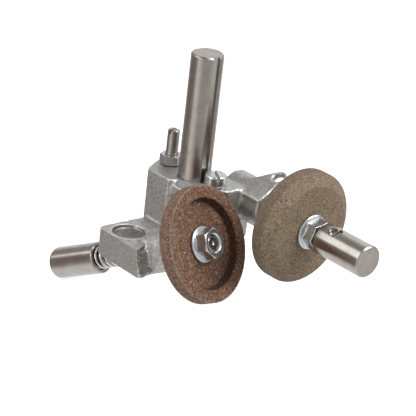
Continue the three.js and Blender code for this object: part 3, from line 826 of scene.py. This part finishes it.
def makeFlangeNut():
    values = nut
    across = values["acrossFlats"]
    radius = values["flangeRadius"]
    skirt = turned([
        (0, 0), (radius - 0.3, 0, 0.15), (radius, 0.35, 0.2), (radius, 0.8, 0.3),
        (radius - 0.5, 1.25, 0.3), (across / 2 - 0.2, values["flange"] + 0.1),
        (0, values["flange"] + 1),
    ])
    hexagon = chamferedHexagon(across, 0.5, values["height"], False)
    inner, mouth = spindle["radius"] + spindle["fit"], spindle["radius"] + 0.9
    bore = turned([
        (0, -1), (inner, -1), (inner, values["height"] - 0.8), (mouth, values["height"] + 0.05),
        (mouth, 12), (0, 12),
    ])
    bm = combined(combined(skirt, hexagon, "UNION"), bore, "DIFFERENCE")
    return softened(bm, 0.16, 30, 3)


knob = {"radius": 7.9, "wall": 4.1, "seatRadius": 6.1, "seatDepth": 5.0, "pushLength": 29.5,
        "frontLength": 29, "nutGap": 1.8}
endWasher = {"radius": 6.4, "thickness": 1.2}
tip1 = 2.4
knobFront1 = -67.9
knobBack1 = knobFront1 - knob["pushLength"]
knobBack2 = stone["thickness"] - stone["rim"] + nut["height"] + knob["nutGap"]
knobFront2 = knobBack2 + knob["frontLength"]
tailFace2 = barrelBack2 - bush["flange"] - seat
washerLow2 = tailFace2 - gap - endWasher["thickness"]
grooveHigh2 = washerLow2 - gap + 0.1
tail2 = grooveHigh2 - 3
addPiece("grinding_spindle_bar", makeSpindle(knobBack1 + 5.5, flangeLow1, tip1), grindPlace,
         "grinding_spindle", plainSteel, ["spindle_1"])
addPiece("truing_spindle_bar", makeSpindle(tail2, flangeLow2, knobFront2 - 6.5,
                                           (grooveHigh2 - 1, grooveHigh2)),
         truePlace, "truing_spindle", plainSteel, ["spindle_2"])
for number, place, back, front in ((1, grindPlace, barrelBack1, barrelFront1),
                                   (2, truePlace, barrelBack2, barrelFront2)):
    addPiece(f"rear_bush_{number}", makeBush(back, -1), place, "body", sinteredBronze,
             [f"bush_{number}_rear"])
    addPiece(f"front_bush_{number}", makeBush(front, 1), place, "body", sinteredBronze,
             [f"bush_{number}_front"])
addPiece("grinding_nut", makeFlangeNut(), alongSpindle(grindPlace, gap - stone["cupDepth"], 12),
         "grinding_spindle", zincPlate, ["flange_nut_1"])
addPiece("truing_nut", makeFlangeNut(),
         alongSpindle(truePlace, stone["thickness"] - stone["rim"] + gap, 8),
         "truing_spindle", zincPlate, ["flange_nut_2"])
print("spindles made")


# ---- knobs and their grub screws
crossHole = {"height": knobBack2 + 8.4, "turn": 107.0, "radius": 3.4}
pushHole = {"height": knobBack1 + 11, "turn": -10.0, "radius": 2.65}


def crossDrill(hole):
    # points out of the knob's side, in the knob's own frame
    radius, mouth = hole["radius"], hole["radius"] + 0.25
    drill = turned([(0, 3), (radius, 3), (radius, 7.6), (mouth, 8.1), (mouth, 11), (0, 11)],
                   steps=64)
    side = Matrix.Translation((0, 0, hole["height"])) @ turnedBy(hole["turn"])
    return moved(drill, side @ Matrix.Rotation(-math.pi / 2, 4, "X"))


def makePushKnob():
    radius, back, front = knob["radius"], knobBack1, knobFront1
    seatRadius, seatFloor = knob["seatRadius"], knobFront1 - knob["seatDepth"]
    bm = turned([
        (0, back), (radius, back, 2.4), (radius, front - 0.5, 0.15), (radius - 0.5, front, 0.15),
        (seatRadius + 0.4, front, 0.12), (seatRadius, front - 0.4, 0.1),
        (seatRadius, seatFloor, 0.2), (knob["wall"], seatFloor), (knob["wall"], back + 5),
        (0, back + 5),
    ], steps=128)
    return combined(bm, crossDrill(pushHole), "DIFFERENCE")


def makeFrontKnob():
    radius, back, front = knob["radius"], knobBack2, knobFront2
    bm = turned([
        (0, front - 6), (knob["wall"], front - 6), (knob["wall"], back, 0.2),
        (radius - 0.5, back, 0.15), (radius, back + 0.5, 0.15), (radius, front - 0.6, 0.12),
        (radius - 0.6, front, 0.15), *facedEnd(radius - 0.6, front), (0, front),
    ], steps=128)
    return combined(bm, crossDrill(crossHole), "DIFFERENCE")


def makeGrubScrew(radius, length):
    low = spindle["radius"] + 0.25
    bm = turned([(0, low), (radius - 0.5, low, 0.1), (radius, low + 0.5, 0.1),
                 (radius, low + length - 0.3, 0.1), (radius - 0.3, low + length, 0.1),
                 (0, low + length)], steps=48)
    return softened(slotted(bm, 0.9, 1.0, low + length, 12), 0.06, 40)


addPiece("push_handle", makePushKnob(), grindPlace, "grinding_spindle", knobSteel,
         ["push_knob"])
addPiece("push_handle_grub", makeGrubScrew(2.5, 2.8),
         outOfSide(grindPlace, pushHole["height"], pushHole["turn"]), "grinding_spindle", zincPlate,
         ["push_knob_grub_screw"])
addPiece("front_handle", makeFrontKnob(), truePlace, "truing_spindle", knobSteel,
         ["front_knob"])
addPiece("front_handle_grub", makeGrubScrew(crossHole["radius"] - 0.15, 1.9),
         outOfSide(truePlace, crossHole["height"], crossHole["turn"]), "truing_spindle", plainSteel,
         ["front_knob_grub_screw"])
print("knobs made")


# ---- springs, washers and the retaining ring
springs = {
    "grinding": {"wire": 1.3, "radius": 5.15, "coils": 7.0, "low": knobFront1 - 3.4,
                 "high": barrelBack1 - 1.6},
    "truing": {"wire": 1.2, "radius": 6.6, "coils": 2.6, "low": barrelFront2 + 1.6,
               "high": flangeLow2 - 1.6},
}


def makeSpring(values):
    # one closed coil at each end, ground flat, and open coils between
    wire, radius, low, high = (values[key] for key in ("wire", "radius", "low", "high"))
    perTurn = 48
    bm = bmesh.new()
    bmesh.ops.create_circle(bm, cap_ends=False, segments=14, radius=wire / 2)
    bmesh.ops.rotate(bm, verts=bm.verts, matrix=Matrix.Rotation(math.pi / 2, 3, "X"))
    bmesh.ops.translate(bm, verts=bm.verts, vec=(radius, 0, low + wire * 0.12))
    closed = wire * 1.02
    rise = (high - low - 2 * closed - wire * 0.24)
    tip = bm.verts[:] + bm.edges[:]
    for turns, climb in ((1.0, closed), (values["coils"], rise), (1.0, closed)):
        steps = round(turns * perTurn)
        made = bmesh.ops.spin(bm, geom=tip, axis=(0, 0, 1), cent=(0, 0, 0),
                              dvec=(0, 0, climb / steps), angle=turns * 2 * math.pi, steps=steps,
                              use_merge=False, use_duplicate=False)
        tip = made["geom_last"]
    bmesh.ops.remove_doubles(bm, verts=bm.verts, dist=1e-4)
    bmesh.ops.holes_fill(bm, edges=[edge for edge in bm.edges if edge.is_boundary], sides=0)
    for height, normal in ((low, (0, 0, -1)), (high, (0, 0, 1))):
        cut = bmesh.ops.bisect_plane(bm, geom=bm.verts[:] + bm.edges[:] + bm.faces[:], dist=1e-5,
                                     plane_co=(0, 0, height), plane_no=normal, clear_outer=True)
        rims = [item for item in cut["geom_cut"] if isinstance(item, bmesh.types.BMEdge)]
        bmesh.ops.holes_fill(bm, edges=[edge for edge in rims if edge.is_boundary], sides=0)
    return bm


def addSpring(name, node, values, place):
    piece = addPiece(name, makeSpring(values), place, "body", springSteel, [node],
                     sharp=45, flat=False)
    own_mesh(piece)


addSpring("push_spring", "return_spring_1", springs["grinding"], grindPlace)
addSpring("front_spring", "return_spring_2", springs["truing"], truePlace)


def makeRetainingRing(low, high):
    # a snap ring that is open on one side, with three lips that reach into the groove
    bm = plainRing(spindle["radius"] - 0.5, 6.0, low, high, 0.1)
    for turn in (60, 180, 300):
        pocket = block(2.2, 2.6, low - 1, high + 1)
        moved(pocket, turnedBy(turn) @ Matrix.Translation((4.1, 0, 0)))
        bm = combined(bm, pocket, "DIFFERENCE")
    opening = moved(block(6, 4.4, low - 1, high + 1), Matrix.Translation((6, 0, 0)))
    return combined(bm, opening, "DIFFERENCE")


washerBore = spindle["radius"] + spindle["fit"]
seatFloor1 = knobFront1 - knob["seatDepth"]
addPiece("push_thrust_washer",
         plainRing(washerBore, knob["seatRadius"] - gap, seatFloor1 + gap, seatFloor1 + gap + 1),
         grindPlace, "push_slide", plainSteel, ["thrust_washer_1"])
springHigh2 = springs["truing"]["high"]
addPiece("front_thrust_washer",
         plainRing(washerBore, 7.8, springHigh2 + gap, springHigh2 + gap + 1), truePlace,
         "truing_slide", plainSteel, ["thrust_washer_2"])
addPiece("end_washer",
         plainRing(washerBore, endWasher["radius"], washerLow2,
                   washerLow2 + endWasher["thickness"]),
         truePlace, "truing_spindle", zincPlate, ["tail_washer"])
addPiece("snap_ring", makeRetainingRing(grooveHigh2 - 0.9, grooveHigh2 - 0.1), truePlace,
         "truing_spindle", plainSteel, ["retaining_ring"])
print("springs and washers made")


# ---- floor, lights and camera
studio = {
    "floorDrop": 0.4, "floorGlow": 0.7, "floorSize": 6000.0,
    "floorColors": ((0.6, 0.6, 0.6), (0.62, 0.62, 0.62)),
    "roofStart": 0.2, "roofFull": 0.32, "strength": 1.0,
    "overhead": (0.2, 0.19, 0.185), "overheadStart": 0.8, "overheadFull": 0.92,
    "ground": (0.95, 0.95, 0.95), "groundStart": 0.42, "groundFull": 0.72,
    # brightness round the horizon, as (turn from the camera in degrees, colour)
    "walls": [
        (-180, (1.0, 1.0, 1.0)), (-150, (0.8, 0.79, 0.78)), (-135, (0.3, 0.26, 0.23)),
        (-72, (0.26, 0.22, 0.195)), (-60, (1.15, 1.12, 1.08)), (-38, (1.05, 1.02, 0.98)),
        (-26, (0.56, 0.535, 0.51)), (20, (0.54, 0.52, 0.5)), (45, (0.8, 0.79, 0.78)),
        (85, (0.95, 0.94, 0.93)), (104, (0.42, 0.41, 0.4)), (132, (0.46, 0.45, 0.44)),
        (150, (1.0, 1.0, 1.0)),
    ],
    # the same for the band above them
    "roof": [
        (-180, (1.0, 1.0, 1.0)), (-160, (0.42, 0.41, 0.4)), (-112, (0.36, 0.34, 0.32)),
        (-102, (1.8, 1.78, 1.75)), (-84, (1.8, 1.78, 1.75)), (-74, (0.5, 0.49, 0.48)),
        (0, (0.6, 0.6, 0.6)), (110, (0.75, 0.75, 0.75)), (180, (1.0, 1.0, 1.0)),
    ],
}
view = {
    "raise": 23.5, "swing": 46.2, "lean": 6.65, "lens": 160.3, "distance": 900.0,
    "across": -6.71, "up": 15.65,
}


def makeFloor():
    low = cadBounds[0][2]
    bm = bmesh.new()
    bmesh.ops.create_grid(bm, x_segments=1, y_segments=1, size=studio["floorSize"] / 2)
    moved(bm, Matrix.Translation((0, 0, low - studio["floorDrop"] * mm)) @ Matrix.Scale(mm, 4))
    floor = temporary(bm, "floor")
    material, tree, shader, place = newMaterial("floorPaper")
    first, second = studio["floorColors"]
    tone = ramp(tree, noiseNode(tree, place, 200, 2), [(0.3, first), (0.7, second)])
    tree.links.new(tone, shader.inputs["Base Color"])
    shader.inputs["Roughness"].default_value = 0.9
    shader.inputs["Emission Color"].default_value = (1, 1, 1, 1)
    shader.inputs["Emission Strength"].default_value = studio["floorGlow"]
    floor.data.materials.append(material)
    # the object is lit by, and mirrors, the soft room around it instead of the paper
    floor.visible_glossy = False
    floor.visible_diffuse = False


def makeSky():
    # a soft room: bands of walls and roof that change round the horizon, a dim patch straight
    # overhead and pale ground below
    world = bpy.data.worlds.new("studioSky")
    bpy.context.scene.world = world
    world.use_nodes = True
    tree = world.node_tree
    background = tree.nodes["Background"]
    coordinates = tree.nodes.new("ShaderNodeTexCoord")
    parts = tree.nodes.new("ShaderNodeSeparateXYZ")
    tree.links.new(coordinates.outputs["Generated"], parts.inputs["Vector"])
    angle = tree.nodes.new("ShaderNodeMath")
    angle.operation = "ARCTAN2"
    tree.links.new(parts.outputs["Y"], angle.inputs[0])
    tree.links.new(parts.outputs["X"], angle.inputs[1])
    share = tree.nodes.new("ShaderNodeMath")
    share.operation = "MULTIPLY_ADD"
    share.inputs[1].default_value = 1 / (2 * math.pi)
    share.inputs[2].default_value = 0.5 - (view["swing"] - 90) / 360
    tree.links.new(angle.outputs[0], share.inputs[0])
    around = tree.nodes.new("ShaderNodeMath")
    around.operation = "FRACT"
    tree.links.new(share.outputs[0], around.inputs[0])
    walls, roof = (ramp(tree, around.outputs[0],
                        [(turn / 360 + 0.5, color) for turn, color in studio[band]])
                   for band in ("walls", "roof"))
    rise = parts.outputs["Z"]
    depth = spread(tree, rise, 1.0, 0.0, -studio["groundFull"], -studio["groundStart"])
    height = spread(tree, rise, 0.0, 1.0, studio["roofStart"], studio["roofFull"])
    lower = mixed(tree, depth, walls, studio["ground"])
    top = spread(tree, rise, 0.0, 1.0, studio["overheadStart"], studio["overheadFull"])
    upper = mixed(tree, top, roof, studio["overhead"])
    tree.links.new(mixed(tree, height, lower, upper), background.inputs["Color"])
    background.inputs["Strength"].default_value = studio["strength"]


lamps = {
    # name: (place in mm, what it points at in mm, width, height, watts, colour)
    "topBox": ((250, 150, 900), (20, 0, 0), 500, 500, 1.5, (1.0, 0.99, 0.97)),
    "rightBox": ((650, 650, 500), (20, 0, 0), 400, 500, 2.5, (1.0, 0.98, 0.95)),
    "leftBox": ((-60, -900, 450), (0, 0, 0), 450, 600, 3.0, (1.0, 0.99, 0.97)),
}
# the even light: where it comes from, its strength and its width in degrees
evenLight = {"from": (500, 250, 830), "strength": 1.5, "width": 24}


def pointing(position, target):
    return (Vector(target) - Vector(position)).to_track_quat("-Z", "Y").to_matrix().to_4x4()


def makeLamps():
    for name, (position, target, width, height, power, color) in lamps.items():
        light = bpy.data.lights.new(name, "AREA")
        light.shape = "RECTANGLE"
        light.size = width * mm
        light.size_y = height * mm
        light.energy = power
        light.color = color
        lamp = bpy.data.objects.new(name, light)
        lamp.matrix_world = Matrix.Translation(Vector(position) * mm) @ pointing(position, target)
        bpy.context.scene.collection.objects.link(lamp)
    sun = bpy.data.lights.new("evenLight", "SUN")
    sun.energy = evenLight["strength"]
    sun.angle = math.radians(evenLight["width"])
    lamp = bpy.data.objects.new("evenLight", sun)
    lamp.matrix_world = pointing(evenLight["from"], (0, 0, 0))
    bpy.context.scene.collection.objects.link(lamp)


def makeCamera():
    # the camera looks down at the post's foot from the front right, and leans over a little
    turn = Matrix.Rotation(math.radians(view["swing"]), 3, "Z")
    tilt = Matrix.Rotation(math.radians(90 - view["raise"]), 3, "X")
    lean = Matrix.Rotation(math.radians(view["lean"]), 3, "Z")
    axes = turn @ tilt @ lean
    offset = axes @ Vector((-view["across"], -view["up"], view["distance"])) * mm
    camera = bpy.data.cameras.new("camera")
    camera.lens = view["lens"]
    camera.sensor_width = 36
    camera.clip_start = 0.01
    camera.clip_end = 50
    holder = bpy.data.objects.new("camera", camera)
    holder.matrix_world = Matrix.Translation(offset) @ axes.to_4x4()
    bpy.context.scene.collection.objects.link(holder)
    bpy.context.scene.camera = holder


makeFloor()
makeSky()
makeLamps()
makeCamera()
bpy.context.scene.view_settings.view_transform = "Standard"
print("studio made")
